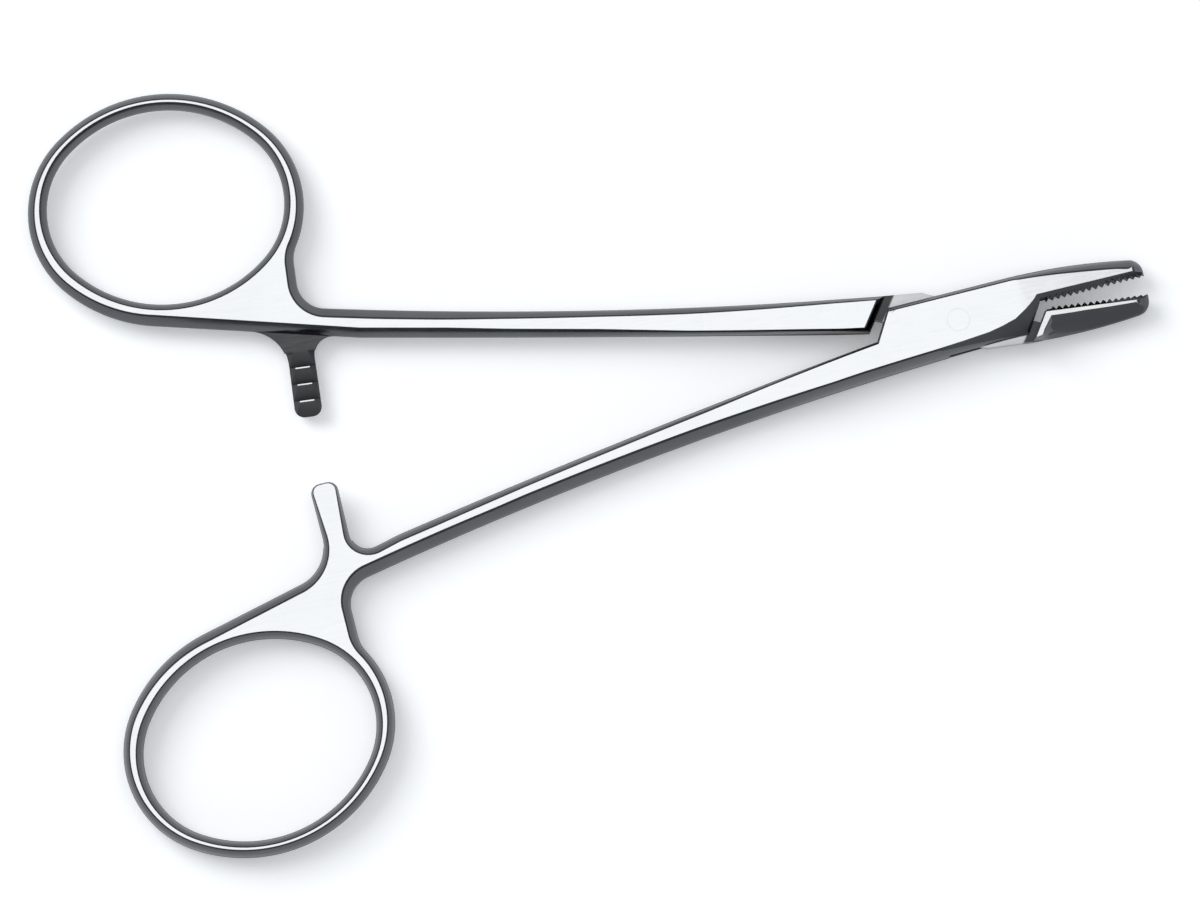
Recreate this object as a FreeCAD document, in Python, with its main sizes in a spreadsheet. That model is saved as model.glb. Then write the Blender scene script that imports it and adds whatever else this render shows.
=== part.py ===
import FreeCAD, Part
import os
import Sketcher

# Needle holder with a box lock: two forged halves and the rivet that they turn on.
# Each half is drawn closed, with its jaw on the X axis: the gripping faces meet at y = 0.
# The rivet's axis is Z, and the underside of the box lies at z = 0.

# Driving dimensions in millimetres and degrees. Names that start with box or tongue
# belong to one half, and the other names are shared.
SIZES = {
    # finger rings
    "ring_length": 26.4,
    "ring_width": 21.7,
    "ring_end": 9.3,
    "ring_wall": 2.15,
    "ring_heel": 0.3,
    "tongue_ring_back": 85.4,
    "tongue_ring_out": 24.7,
    "tongue_ring_turn": 3.1,
    "box_ring_back": 86.3,
    "box_ring_out": 26.1,
    "box_ring_turn": 9.6,
    # shanks
    "handle_thick": 3.4,
    "yoke_back": 66.0,
    "yoke_width": 3.15,
    "tongue_yoke_out": 8.9,
    "box_yoke_out": 9.35,
    "waist_back": 36.0,
    "waist_out": 4.8,
    "waist_width": 3.05,
    "neck_back": 12.0,
    "web_past": 0.1,
    "web_rise": 1.1,
    "web_side": 7.8,
    "web_round": 3.2,
    "web_blend": 4.0,
    # ratchet arms
    "arm_back": 72.7,
    "arm_width": 3.1,
    "tongue_arm_past": 0.6,
    "box_arm_past": -0.2,
    "arm_crest": 0.3,
    "arm_round_ring": 4.5,
    "arm_round_shank": 2.0,
    "click_pitch": 1.87,
    "click_depth": 0.75,
    "click_count": 3,
    "click_rake": 0.1,
    "click_overrun": 0.05,
    # box lock
    "box_thick": 5.0,
    "box_half_width": 3.4,
    "slot_thick": 1.8,
    "slide_gap": 0.04,
    "tongue_half_width": 2.1,
    "tongue_out": 3.7,
    "edge_gap": 0.1,
    "tongue_slant": 22.0,
    "lock_slant": 59.0,
    "open_angle": 60.0,
    "stop_margin": 2.0,
    "cheek_back": 9.2,
    "cheek_front": 9.3,
    "shoulder_back": 9.85,
    "shoulder_front": 10.0,
    "facet_inset": 1.1,
    "rivet_radius": 1.25,
    "rivet_gap": 0.03,
    "rivet_seat_gap": 0.01,
    # jaws
    "jaw_tip": 21.4,
    "jaw_tip_out": 1.8,
    "jaw_middle": 14.5,
    "jaw_middle_out": 2.95,
    "jaw_nose": 1.6,
    "jaw_tip_thick": 2.3,
    "neck_rise_back": 28.0,
    "tooth_pitch": 0.71,
    "tooth_depth": 0.35,
    "tooth_land": 0.1,
    "tooth_bite": 0.1,
    "tooth_count": 16,
    "tooth_start": 10.6,
    "root_relief": 0.15,
    "cross_pitch": 0.9,
    "cross_depth": 0.25,
    "cross_count": 3,
    # broken edges
    "edge_break": 0.8,
    "box_break": 0.45,
    # the halves as they lie, jaws a little open
    "rest_opening": 6.3,
    # how far a cut runs past the material
    "overrun": 1.0,
}
CUT = 200.0  # longer than any piece, for cuts that go right through

# How edges are picked by place: the same place, a little slack, and wider searches
SAME = 0.02
SLACK = 0.1
ROOT_REACH = 3.6
UPRIGHT_HEIGHT = 0.5
# Ground faces lie between these heights above or below the mid-plane, nearly level
FACE_FROM = 0.9
FACE_TO = 3.0
LEVEL = 0.95
STEEP = 0.05

doc = FreeCAD.newDocument("needle_holder")
sheet = doc.addObject("Spreadsheet::Sheet", "Sizes")
for row, (alias, value) in enumerate(SIZES.items(), start=1):
    sheet.set(f"A{row}", alias)
    sheet.set(f"B{row}", str(value))
    sheet.setAlias(f"B{row}", alias)
doc.recompute()


def formula(text):
    """Write the names of sizes in an expression the way the document spells them."""
    words = []
    word = ""
    for letter in text + " ":
        if letter.isalnum() or letter == "_":
            word += letter
            continue
        words.append(f"Sizes.{word}" if word in SIZES else word)
        words.append(letter)
        word = ""
    return "".join(words).strip()


def value(text):
    """The number that an expression of sizes gives now."""
    return float(sheet.evalExpression(formula(text)))


class Half:
    """One piece as a body: sketches, pads and pockets. A half's ring is on side +1 or -1 of the X axis."""

    def __init__(self, name, own, side):
        self.body = doc.addObject("PartDesign::Body", name)
        self.body.Label = name
        self.own = own
        self.side = side

    def mine(self, size):
        return f"{self.own}_{size}"

    def plane(self, role):
        return [item for item in self.body.Origin.OriginFeatures if item.Role == role][0]

    def sketch(self, name, role="XY_Plane", lift=None):
        sketch = self.body.newObject("Sketcher::SketchObject", name)
        sketch.AttachmentSupport = [(self.plane(role), "")]
        sketch.MapMode = "FlatFace"
        if lift:
            sketch.setExpression("AttachmentOffset.Base.z", formula(lift))
        return sketch

    def feature(self, kind, name, profile, **settings):
        """A pad or pocket of one sketch; text settings are expressions of sizes."""
        item = self.body.newObject(f"PartDesign::{kind}", name)
        item.Profile = profile
        for key, setting in settings.items():
            if key == "Length":
                item.setExpression(key, formula(setting))
            else:
                setattr(item, key, setting)
        return settle(item)

    def edges(self, test):
        """Names of the edges of the shape so far that pass a test."""
        shape = self.body.Tip.Shape
        return [f"Edge{i}" for i, edge in enumerate(shape.Edges, start=1) if test(shape, edge)]

    def dress(self, kind, name, names, **sizes):
        """A fillet or chamfer along the named edges."""
        base = self.body.Tip
        item = self.body.newObject(f"PartDesign::{kind}", name)
        item.Base = (base, names)
        for key, size in sizes.items():
            item.setExpression(key, formula(size))
        return settle(item)

    def pattern(self, name, source, axis, length, count, backwards):
        """Repeat a cut along one axis of a sketch plane."""
        item = self.body.newObject("PartDesign::LinearPattern", name)
        item.Originals = [source]
        item.Direction = axis
        item.setExpression("Length", formula(length))
        item.setExpression("Occurrences", formula(count))
        item.Reversed = backwards
        self.body.Tip = item
        return settle(item)


def settle(item):
    """Recompute, and stop if the feature failed."""
    doc.recompute()
    failed = "Invalid" in item.State or "Error" in item.State
    if failed or item.Shape.isNull() or not item.Shape.isValid():
        raise RuntimeError(f"{item.Label} failed")
    return item


def pin_point(sketch, geometry, end, x, y):
    """Hold one end of a line or arc at a place given by two expressions."""
    for kind, text in (("DistanceX", x), ("DistanceY", y)):
        index = sketch.addConstraint(Sketcher.Constraint(kind, -1, 1, geometry, end, value(text)))
        sketch.setExpression(f"Constraints[{index}]", formula(text))


def outline(sketch, corners):
    """A closed outline through corners (x, y). A corner of four texts starts an arc
    that passes through the second place before it reaches the next corner."""
    for number, corner in enumerate(corners):
        after = corners[(number + 1) % len(corners)]
        start = FreeCAD.Vector(value(corner[0]), value(corner[1]), 0)
        end = FreeCAD.Vector(value(after[0]), value(after[1]), 0)
        if len(corner) == 4:
            through = FreeCAD.Vector(value(corner[2]), value(corner[3]), 0)
            arc = Part.Arc(start, through, end)
            geometry = sketch.addGeometry(arc)
            first = 1 if sketch.getPoint(geometry, 1).distanceToPoint(start) < SAME else 2
            point = sketch.addGeometry(Part.Point(through), True)
            pin_point(sketch, point, 1, corner[2], corner[3])
            sketch.addConstraint(Sketcher.Constraint("PointOnObject", point, 1, geometry))
            pin_point(sketch, geometry, first, corner[0], corner[1])
            pin_point(sketch, geometry, 3 - first, after[0], after[1])
        else:
            geometry = sketch.addGeometry(Part.LineSegment(start, end))
            pin_point(sketch, geometry, 1, corner[0], corner[1])
            pin_point(sketch, geometry, 2, after[0], after[1])


def sided(side, corners):
    """Mirror corners written for a ring above the X axis to the half's own side."""
    if side > 0:
        return corners
    return [
        tuple(text if i % 2 == 0 else f"-({text})" for i, text in enumerate(corner))
        for corner in corners
    ]


# The ring's oval is four tangent arcs: two ends and two flatter flanks
END_REACH = "(ring_length/2-ring_end)"
FLANK = f"(({END_REACH}^2+(ring_width/2)^2-ring_end^2)/(ring_width-2*ring_end))"
FLANK_DROP = f"({FLANK}-ring_width/2)"
JOIN_SLOPE = f"atan({FLANK_DROP}/{END_REACH})"


def ring_place(half, along, across, shift):
    """A place given along and across the ring's long axis, for a ring above the X axis."""
    turn = half.mine("ring_turn")
    x = f"-{half.mine('ring_back')}+({along})*cos({turn})+({across})*sin({turn})"
    y = f"{half.mine('ring_out')}-({shift})-({along})*sin({turn})+({across})*cos({turn})"
    return x, y


def oval(sketch, half, wall, shift):
    """The ring's oval, offset outwards by a wall and moved towards the shank by a shift."""

    def place(along, across):
        return ring_place(half, along, across, shift)

    def join(way_along, way_across):
        reach = f"{END_REACH}+(ring_end+{wall})*cos({JOIN_SLOPE})"
        rise = f"(ring_end+{wall})*sin({JOIN_SLOPE})"
        return place(f"{way_along}*({reach})", f"{way_across}*({rise})")

    tip = f"(ring_length/2+{wall})"
    brow = f"(ring_width/2+{wall})"
    outline(sketch, sided(half.side, [
        join(1, -1) + place(tip, "0"),
        join(1, 1) + place("0", brow),
        join(-1, 1) + place(f"-{tip}", "0"),
        join(-1, -1) + place("0", f"-{brow}"),
    ]))


def heel_place(half):
    """Where the line from the yoke touches the ring's lower flank."""
    centre_x, centre_y = ring_place(half, "0", FLANK_DROP, "ring_heel")
    across = f"(-yoke_back-({centre_x}))"
    down = f"({centre_y}-({half.mine('yoke_out')}-yoke_width/2))"
    radius = f"({FLANK}+ring_wall)"
    angle = f"(-atan({down}/{across})-acos({radius}/sqrt({across}^2+{down}^2)))"
    return f"{centre_x}+{radius}*cos({angle})", f"{centre_y}+{radius}*sin({angle})"


# Angles, seen from the rivet, of the slot's walls at the closed and at the open stop
CLOSED_WALL = "(90-tongue_slant)"
OPEN_WALL = "(90-tongue_slant-open_angle-stop_margin)"


def slanted(foot, height):
    """A place at a height on one of the slanted ends of the box lock."""
    return f"{foot}+({height})/tan(lock_slant)", height


def wall_at_height(distance, height, angle):
    """A place at a height on a wall that stands a distance from the rivet, square to an angle."""
    return f"({distance}-({height})*sin({angle}))/cos({angle})", height


def wall_at_reach(distance, reach, angle):
    """A place at a reach along X on such a wall."""
    return reach, f"({distance}-({reach})*cos({angle}))/sin({angle})"


def wall_at_slant(distance, foot, angle):
    """Where such a wall meets a slanted end of the box lock."""
    height = f"(({distance}-({foot})*cos({angle}))/(sin({angle})+cos({angle})/tan(lock_slant)))"
    return slanted(foot, height)


def web_corner(half):
    """The corner of the web between shank and ring, just past the ring's hole."""
    x = f"-({half.mine('ring_back')}-ring_length/2-web_past)"
    return x, f"{half.mine('yoke_out')}+yoke_width/2+web_rise"


def handle_corners(half, start, finish):
    """The shank's outer edge from the box back to the ring, the web, and the inner edge again."""
    yoke = half.mine("yoke_out")
    web_x, web_y = web_corner(half)
    return [
        start + ("-waist_back", "waist_out+waist_width/2"),
        (web_x, web_y),
        (web_x, f"{web_y}+web_side"),
        (f"-{half.mine('ring_back')}", half.mine("ring_out")),
        heel_place(half),
        ("-yoke_back", f"{yoke}-yoke_width/2", "-waist_back", "waist_out-waist_width/2"),
        finish,
    ]


def jaw_corners(start, shift, foot):
    """The jaw's outer side out to its tip and back along the gripping face to its foot,
    for a jaw below the X axis. Behind the row of teeth the face is relieved."""
    row_end = f"tooth_start+tooth_pitch*{shift}-(tooth_pitch+tooth_land)/2"
    return [
        start + ("jaw_middle", "-jaw_middle_out"),
        ("jaw_tip", "-jaw_tip_out"),
        ("jaw_tip", "tooth_bite"),
        (row_end, "tooth_bite"),
        (row_end, "-root_relief"),
        (foot, "-root_relief"),
    ]


def near(a, b):
    return abs(a - b) < SAME


def upright(edge):
    box = edge.BoundBox
    return box.ZLength > UPRIGHT_HEIGHT and box.XLength < SAME and box.YLength < SAME


def upright_near(x, y, reach):
    """A test for upright edges close to a place."""
    place = FreeCAD.Vector(x, y, 0)

    def test(shape, edge):
        spot = edge.Vertexes[0].Point
        return upright(edge) and FreeCAD.Vector(spot.x, spot.y, 0).distanceToPoint(place) < reach

    return test


def face_normal(face, edge):
    spot = edge.valueAt((edge.FirstParameter + edge.LastParameter) / 2)
    u, v = face.Surface.parameter(spot)
    return face.normalAt(u, v)


def rim(where):
    """A test for the edges between a ground face and an upright side, where a box test passes."""

    def test(shape, edge):
        if not FACE_FROM < abs(edge.CenterOfMass.z) < FACE_TO or not where(edge.BoundBox):
            return False
        faces = shape.ancestorsOfType(edge, Part.Face)
        if len(faces) != 2:
            return False
        slopes = sorted(abs(face_normal(face, edge).z) for face in faces)
        return slopes[0] < STEEP and slopes[1] > LEVEL

    return test


def grind_profile(half):
    """Grind the top and the underside: thin along the shank and ring, full at the box,
    and falling to the jaw's tip. The rise is two arcs, each through an eighth of it midway."""
    for name, way in (("upper", 1), ("lower", -1)):
        sketch = half.sketch(f"{name}_profile", "XZ_Plane")

        def thick(share):
            return f"{way}*(handle_thick*(1-{share})+box_thick*{share})/2"

        outline(sketch, [
            (f"-{CUT}", f"{way}*handle_thick/2"),
            ("-neck_rise_back", thick(0), "-(neck_rise_back*3+neck_back)/4", thick(0.125)),
            ("-(neck_rise_back+neck_back)/2", thick(0.5), "-(neck_rise_back+neck_back*3)/4", thick(0.875)),
            ("-neck_back", f"{way}*box_thick/2"),
            ("cheek_front-box_half_width/tan(lock_slant)", f"{way}*box_thick/2"),
            ("jaw_tip+overrun", f"{way}*jaw_tip_thick/2"),
            ("jaw_tip+overrun", f"{way}*box_thick"),
            (f"-{CUT}", f"{way}*box_thick"),
        ])
        half.feature("Pocket", f"{name}_grinding", sketch, Length=str(CUT), SideType="Symmetric")


def make_handle(half):
    """Blank, ground faces, finger ring and the rounds where ring and shank join."""
    sketch = half.sketch("ring_plan")
    oval(sketch, half, "ring_wall", "ring_heel")
    half.feature("Pad", "ring_blank", sketch, Length="box_thick", SideType="Symmetric")
    grind_profile(half)
    sketch = half.sketch("finger_plan")
    oval(sketch, half, "0", "0")
    half.feature("Pocket", "finger_hole", sketch, Length=str(CUT), SideType="Symmetric")
    corner_x, corner_y = (value(text) for text in web_corner(half))

    def at_web(shape, edge):
        spot = edge.Vertexes[0].Point
        rise = half.side * spot.y - corner_y
        return upright(edge) and near(spot.x, corner_x) and abs(rise) < value("web_side")

    corner = half.edges(upright_near(corner_x, half.side * corner_y, SLACK))
    half.dress("Fillet", "web_round", corner, Radius="web_round")
    half.dress("Fillet", "web_blend", half.edges(at_web), Radius="web_blend")


def make_arm(half, level):
    """The ratchet arm, on the upper or lower half of the shank's thickness, with its teeth."""
    side = half.side
    past = half.mine("arm_past")
    sketch = half.sketch("arm_plan", lift=f"-{level}*arm_crest")
    left, right = "-(arm_back+arm_width/2)", "-(arm_back-arm_width/2)"
    root = half.mine("yoke_out")
    outline(sketch, sided(side, [
        (left, f"{root}+yoke_width/2"),
        (left, f"-({past})"),
        (right, f"-({past})"),
        (right, f"{root}+yoke_width/2"),
    ]))
    half.feature("Pad", "arm", sketch, Length="handle_thick/2+arm_crest", Reversed=level < 0)
    for place, size in ((left, "arm_round_ring"), (right, "arm_round_shank")):
        x = value(place)

        def at_root(shape, edge):
            spot = edge.Vertexes[0].Point
            return upright(edge) and near(spot.x, x) and abs(side * spot.y - value(root)) < ROOT_REACH

        half.dress("Fillet", size, half.edges(at_root), Radius=size)


def cut_clicks(half, level):
    """One-way teeth across the arm: each slopes up from the tip's side and drops steeply behind."""
    side = half.side
    start = f"-({half.mine('arm_past')})-click_overrun"
    sketch = half.sketch("click_plan", "YZ_Plane", lift="-arm_back")
    crest = f"-({level})*arm_crest"
    valley = f"({level})*(click_depth-arm_crest)"
    outside = f"-({level})*(arm_crest+overrun)"
    outline(sketch, [
        (f"{side}*({start})", outside),
        (f"{side}*({start})", crest),
        (f"{side}*({start}+click_rake)", valley),
        (f"{side}*({start}+click_pitch)", crest),
        (f"{side}*({start}+click_pitch)", outside),
    ])
    click = half.feature("Pocket", "click", sketch, Length="arm_width+overrun*2", SideType="Symmetric")
    row = (sketch, ["H_Axis"])
    half.pattern("clicks", click, row, "click_pitch*click_count", "click_count+1", side < 0)


def cut_teeth(half, shift):
    """The serrated gripping face: grooves across the jaw, and a few along it."""
    side = half.side
    sketch = half.sketch("tooth_plan")
    middle = f"tooth_start+tooth_pitch*{shift}"
    mouth = "(tooth_pitch-tooth_land)/2"
    outline(sketch, sided(side, [
        (f"{middle}-{mouth}", "tooth_bite+tooth_depth"),
        (f"{middle}-{mouth}", "tooth_bite"),
        (middle, "tooth_bite-tooth_depth"),
        (f"{middle}+{mouth}", "tooth_bite"),
        (f"{middle}+{mouth}", "tooth_bite+tooth_depth"),
    ]))
    tooth = half.feature("Pocket", "tooth", sketch, Length="box_thick", SideType="Symmetric")
    row = (sketch, ["H_Axis"])
    half.pattern("teeth", tooth, row, "tooth_pitch*(tooth_count-1)", "tooth_count", False)
    sketch = half.sketch("cross_plan", "YZ_Plane", lift="tooth_start-tooth_pitch/2")
    low = "-cross_pitch*(cross_count-1)/2"
    outline(sketch, [
        (f"{side}*(tooth_bite+tooth_depth)", f"{low}-cross_depth"),
        (f"{side}*tooth_bite", f"{low}-cross_depth"),
        (f"{side}*(tooth_bite-cross_depth)", low),
        (f"{side}*tooth_bite", f"{low}+cross_depth"),
        (f"{side}*(tooth_bite+tooth_depth)", f"{low}+cross_depth"),
    ])
    cross = half.feature("Pocket", "cross", sketch, Length="jaw_tip-tooth_start+overrun*2", Reversed=True)
    row = (sketch, ["V_Axis"])
    half.pattern("crosses", cross, row, "cross_pitch*(cross_count-1)", "cross_count", False)


def break_edges(half, lock_edges):
    """Take the corners off the ground faces: broad along handle and ring, slight at box and jaw."""
    back = -value("cheek_back") + SLACK
    arm_tip = -half.side * value(half.mine("arm_past"))

    def handle(box):
        at_arm_tip = near(box.YMin, arm_tip) and box.YLength < SAME
        return box.XMin < back and not at_arm_tip

    half.dress("Chamfer", "edge_break", half.edges(rim(handle)), Size="edge_break")
    half.dress("Chamfer", "box_break", half.edges(rim(lock_edges)), Size="box_break")


def round_nose(half):
    nose = half.edges(upright_near(value("jaw_tip"), -half.side * value("jaw_tip_out"), SLACK))
    half.dress("Fillet", "jaw_nose", nose, Radius="jaw_nose")


def drill(half, gap):
    sketch = half.sketch("rivet_plan")
    up = FreeCAD.Vector(0, 0, 1)
    circle = sketch.addGeometry(Part.Circle(FreeCAD.Vector(0, 0, 0), up, value("rivet_radius")))
    sketch.addConstraint(Sketcher.Constraint("Coincident", circle, 3, -1, 1))
    radius = sketch.addConstraint(Sketcher.Constraint("Radius", circle, value("rivet_radius")))
    sketch.setExpression(f"Constraints[{radius}]", formula(f"rivet_radius+{gap}"))
    half.feature("Pocket", "rivet_hole", sketch, Length=str(CUT), SideType="Symmetric")


def lay_down(half):
    """Turn a finished half about the rivet to where it rests, the box's underside at z = 0."""
    turn = FreeCAD.Rotation(FreeCAD.Vector(0, 0, -half.side), value("rest_opening") / 2)
    half.body.Placement = FreeCAD.Placement(FreeCAD.Vector(0, 0, value("box_thick") / 2), turn)
    half.body.setExpression("Placement.Base.z", formula("box_thick/2"))
    half.body.setExpression("Placement.Rotation.Angle", formula("rest_opening/2"))


def make_blank(half, corners):
    sketch = half.sketch("plan")
    outline(sketch, sided(half.side, corners))
    half.feature("Pad", "blank", sketch, Length="box_thick", SideType="Symmetric")


def lay_out_box_half():
    """Ring below the X axis, jaw above, and the box with its slot between two cheeks."""
    half = Half("box_half", "box", -1)
    cheek_front = slanted("cheek_front", "-box_half_width")
    make_blank(half, handle_corners(half, (cheek_front[0], "box_half_width"), ("-cheek_back", "0")) + [
        ("-cheek_back+box_half_width/tan(lock_slant)", "-box_half_width"),
    ] + jaw_corners((cheek_front[0], "-box_half_width"), 0, "cheek_front+root_relief/tan(lock_slant)"))
    make_handle(half)
    round_nose(half)
    make_arm(half, 1)
    half.dress("Chamfer", "cheek_facet", half.edges(rim(at_cheek_front)), Size="facet_inset")
    jaw_face = value("jaw_tip_out") / 2
    break_edges(half, lambda box: box.YMin > -SAME and box.YMax > jaw_face)
    cut_slot(half)
    drill(half, "rivet_seat_gap")
    cut_clicks(half, 1)
    cut_teeth(half, 0)
    lay_down(half)
    return half


def at_cheek_front(box):
    """The slanted front end of the box's cheeks, which is ground to a broad facet."""
    width = value("box_half_width")
    return box.XMin > value("cheek_front") / 2 and box.YLength > width and box.YMax < width / 2


def cut_slot(half):
    """The slot through the box. Between its walls the tongue turns from closed to fully open,
    so each wall is a blunt nose that points at the rivet."""
    sketch = half.sketch("slot_plan")
    reach = "(tongue_half_width+edge_gap)"
    middle = f"(({CLOSED_WALL}+{OPEN_WALL})/2)"
    nose = f"({reach}/cos(({CLOSED_WALL}-{OPEN_WALL})/2))"
    outside = "box_half_width*2"
    far = "cheek_back*1.5"
    upper = [
        (f"{nose}*cos({middle})", f"{nose}*sin({middle})"),
        wall_at_height(reach, outside, OPEN_WALL),
        (f"-({far})", outside),
    ]
    left = wall_at_reach(f"-({reach})", f"-({far})", CLOSED_WALL)
    lower = [(f"-({x})", f"-({y})") for x, y in upper]
    right = wall_at_reach(reach, far, CLOSED_WALL)
    outline(sketch, upper + [left] + lower + [right])
    half.feature("Pocket", "slot", sketch, Length="slot_thick", SideType="Symmetric")


def lay_out_tongue_half():
    """Ring above the X axis, jaw below, and between them the thin tongue."""
    half = Half("tongue_half", "tongue", 1)
    reach = "tongue_half_width"
    make_blank(half, handle_corners(
        half,
        wall_at_height(reach, "tongue_out", CLOSED_WALL),
        ("-shoulder_back", "0"),
    ) + [
        wall_at_slant(f"-{reach}", "-shoulder_back", CLOSED_WALL),
        wall_at_height(f"-{reach}", "-box_half_width", CLOSED_WALL),
    ] + jaw_corners(
        slanted("shoulder_front", "-box_half_width"),
        0.5,
        slanted("shoulder_front", "-root_relief")[0],
    ) + [
        wall_at_slant(reach, "shoulder_front", CLOSED_WALL),
    ])
    make_handle(half)
    round_nose(half)
    make_arm(half, -1)
    jaw_face = -value("jaw_tip_out") / 2
    jaw_start = value("shoulder_front") / 2
    break_edges(half, lambda box: box.XMin > jaw_start and box.YMax < SAME and box.YMin < jaw_face)
    mill_tongue(half)
    drill(half, "rivet_gap")
    cut_clicks(half, -1)
    cut_teeth(half, 0.5)
    lay_down(half)
    return half


def mill_tongue(half):
    """Mill both faces down to the tongue, between two slanted shoulders."""
    outside = "box_half_width*2"
    for name, way in (("upper", 1), ("lower", -1)):
        sketch = half.sketch(f"{name}_tongue_plan", lift=f"{way}*(slot_thick/2-slide_gap)")
        outline(sketch, [
            slanted("-shoulder_back", f"-({outside})"),
            slanted("-shoulder_back", outside),
            slanted("shoulder_front", outside),
            slanted("shoulder_front", f"-({outside})"),
        ])
        half.feature("Pocket", f"{name}_milling", sketch, Length="box_thick", Reversed=way > 0)


def lay_out_rivet():
    """The rivet, pressed in the cheeks, with its ends ground flush with the box."""
    piece = Half("pivot_pin", "rivet", 1)
    sketch = piece.sketch("rivet_profile", "XZ_Plane")
    outline(sketch, [
        ("0", "-box_thick/2"),
        ("rivet_radius", "-box_thick/2"),
        ("rivet_radius", "box_thick/2"),
        ("0", "box_thick/2"),
    ])
    rivet = piece.body.newObject("PartDesign::Revolution", "rivet")
    rivet.Profile = sketch
    rivet.ReferenceAxis = (sketch, ["V_Axis"])
    rivet.Angle = 360
    settle(rivet)
    piece.body.setExpression("Placement.Base.z", formula("box_thick/2"))
    return piece


pieces = [lay_out_box_half(), lay_out_tongue_half(), lay_out_rivet()]
doc.recompute()
for item in doc.Objects:
    if "Invalid" in item.State or "Error" in item.State:
        raise RuntimeError(f"{item.Label} failed")
os.makedirs("parts", exist_ok=True)
for piece in pieces:
    shape = piece.body.Shape
    if shape.isNull() or not shape.isValid() or len(shape.Solids) != 1:
        raise RuntimeError(f"{piece.body.Label} is not one sound solid")
    shape.exportStep(f"parts/{piece.body.Label}.step")
    print(piece.body.Label, round(shape.Volume, 1), len(shape.Faces))
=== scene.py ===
# %% [markdown]
# A needle holder with a box lock lies on a pale table, its jaws a little open.
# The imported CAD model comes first: it fixes every size and place, and everything
# that follows is laid over it in metres, in the same frame.

# %% Load the frame
import math
import bmesh
import bpy
import mathutils
import numpy as np
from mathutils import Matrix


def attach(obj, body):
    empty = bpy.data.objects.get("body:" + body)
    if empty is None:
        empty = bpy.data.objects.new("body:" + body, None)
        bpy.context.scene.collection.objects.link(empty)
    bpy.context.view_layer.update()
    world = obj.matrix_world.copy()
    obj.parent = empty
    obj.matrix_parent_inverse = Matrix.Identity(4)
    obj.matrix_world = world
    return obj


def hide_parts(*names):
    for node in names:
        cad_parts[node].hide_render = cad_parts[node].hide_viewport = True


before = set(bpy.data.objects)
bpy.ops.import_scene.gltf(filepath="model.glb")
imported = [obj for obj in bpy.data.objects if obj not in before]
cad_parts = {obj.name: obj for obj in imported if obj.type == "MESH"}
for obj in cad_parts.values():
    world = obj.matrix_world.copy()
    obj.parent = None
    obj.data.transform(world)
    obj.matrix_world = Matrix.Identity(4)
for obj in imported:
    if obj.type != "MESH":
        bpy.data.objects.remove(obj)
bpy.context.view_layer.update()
print("nodes:", sorted(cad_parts))

# %% [markdown]
# The photograph looks almost straight down through a long lens. The camera leans a few
# degrees towards the picture's lower edge, so the walls that face that way just show.
# It comes first, because everything else is judged through it.

# %% The camera
scene = bpy.context.scene
VIEW_CENTRE = mathutils.Vector((-0.04179, -0.00694, 0.0035))
UP_IN_PICTURE = mathutils.Vector((0.19125, 0.9815, 0.0)).normalized()
LEAN_DOWN = math.radians(5.0)
CAMERA_DISTANCE, VIEW_WIDTH = 0.9, 0.1329
SENSOR_WIDTH = 36.0
towards_camera = mathutils.Vector((0, 0, 1)) - UP_IN_PICTURE * math.tan(LEAN_DOWN)
towards_camera.normalize()
lens = bpy.data.cameras.new("long_lens")
lens.sensor_width = SENSOR_WIDTH
lens.lens = SENSOR_WIDTH * CAMERA_DISTANCE / VIEW_WIDTH
lens.clip_start = 0.01
camera = bpy.data.objects.new("camera", lens)
scene.collection.objects.link(camera)
side_axis = UP_IN_PICTURE.cross(towards_camera).normalized()
turn = mathutils.Matrix((side_axis, towards_camera.cross(side_axis), towards_camera)).transposed()
camera.matrix_world = mathutils.Matrix.Translation(
    VIEW_CENTRE + towards_camera * CAMERA_DISTANCE) @ turn.to_4x4()
scene.camera = camera
scene.view_settings.view_transform = "Standard"
print("lens", round(lens.lens, 1), "mm, view", VIEW_WIDTH, "m wide")

# %% [markdown]
# All the plan sizes of the instrument in millimetres, as on its drawing. Both halves are
# drawn closed with the ring above the X axis, and are mirrored and turned at the end. The
# last values are for the work itself: places nearer than SAME_PLACE are one place, LEAST
# keeps a length from being nothing, and a cut runs CUT_PAST beyond the steel.

# %% Sizes
RING_LENGTH, RING_WIDTH, RING_END, RING_WALL, RING_HEEL = 26.4, 21.7, 9.3, 2.15, 0.3
YOKE_BACK, YOKE_WIDTH = 66.0, 3.15
WAIST_BACK, WAIST_OUT, WAIST_WIDTH = 36.0, 4.8, 3.05
WEB_PAST, WEB_RISE, WEB_ROUND, WEB_BLEND = 0.1, 1.1, 3.2, 4.0
ARM_BACK, ARM_WIDTH, ARM_CREST = 72.7, 3.1, 0.3
ARM_ROUND_RING, ARM_ROUND_SHANK, ARM_CORNER, ARM_BEVEL = 4.5, 2.0, 1.1, 0.8
CLICK_PITCH, CLICK_DEPTH, CLICK_RAKE, CLICK_COUNT = 1.87, 0.75, 0.1, 4
CLICK_LAND, CLICK_OVERRUN = 0.13, 0.05
HANDLE_HALF_THICK, BOX_HALF_THICK, TIP_HALF_THICK = 1.7, 2.5, 1.15
NECK_BACK, NECK_RISE_BACK = 12.0, 28.0
BOX_HALF_WIDTH, LOCK_SLANT = 3.4, math.radians(59.0)
CHEEK_BACK, CHEEK_FRONT, SHOULDER_BACK, SHOULDER_FRONT = 9.2, 9.3, 9.85, 10.0
TONGUE_HALF_WIDTH, TONGUE_OUT, SLOT_GAP = 2.1, 3.7, 0.1
SLOT_HALF_THICK, TONGUE_HALF_THICK = 0.9, 0.86
CLOSED_WALL, OPEN_WALL = math.radians(68.0), math.radians(6.0)
RIVET_HOLE = 1.26
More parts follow.
